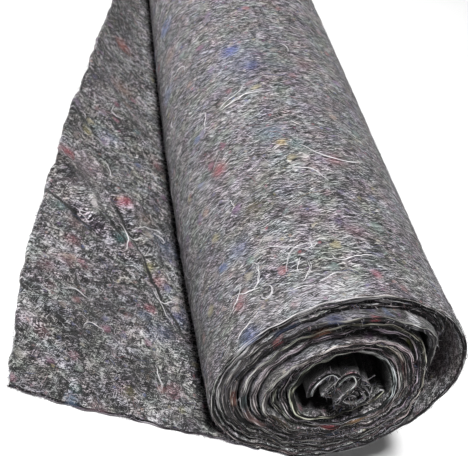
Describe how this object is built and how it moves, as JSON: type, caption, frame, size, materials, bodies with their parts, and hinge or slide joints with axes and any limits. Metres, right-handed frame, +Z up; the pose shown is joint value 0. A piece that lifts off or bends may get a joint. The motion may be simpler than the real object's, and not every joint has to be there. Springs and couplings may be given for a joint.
{
  "type": "roll of protective fleece",
  "caption": "Loosely wound roll of thick grey needled felt lying on its side, with its loose end pulled out flat on the floor beside it.",
  "frame": {"origin": "on the floor, on the flat that the roll stands on, below the roll's axis and midway along it", "axes": "+Y along the roll away from its open end, +Z up, loose end towards -X"},
  "size_m": [0.2795, 1.006, 0.1687],
  "materials": {
    "needled_felt": "matt mottled grey felt of mixed recycled fibres"
  },
  "bodies": {
    "root": {"wound_roll": "needled_felt", "loose_end": "needled_felt"}
  },
  "joints": []
}
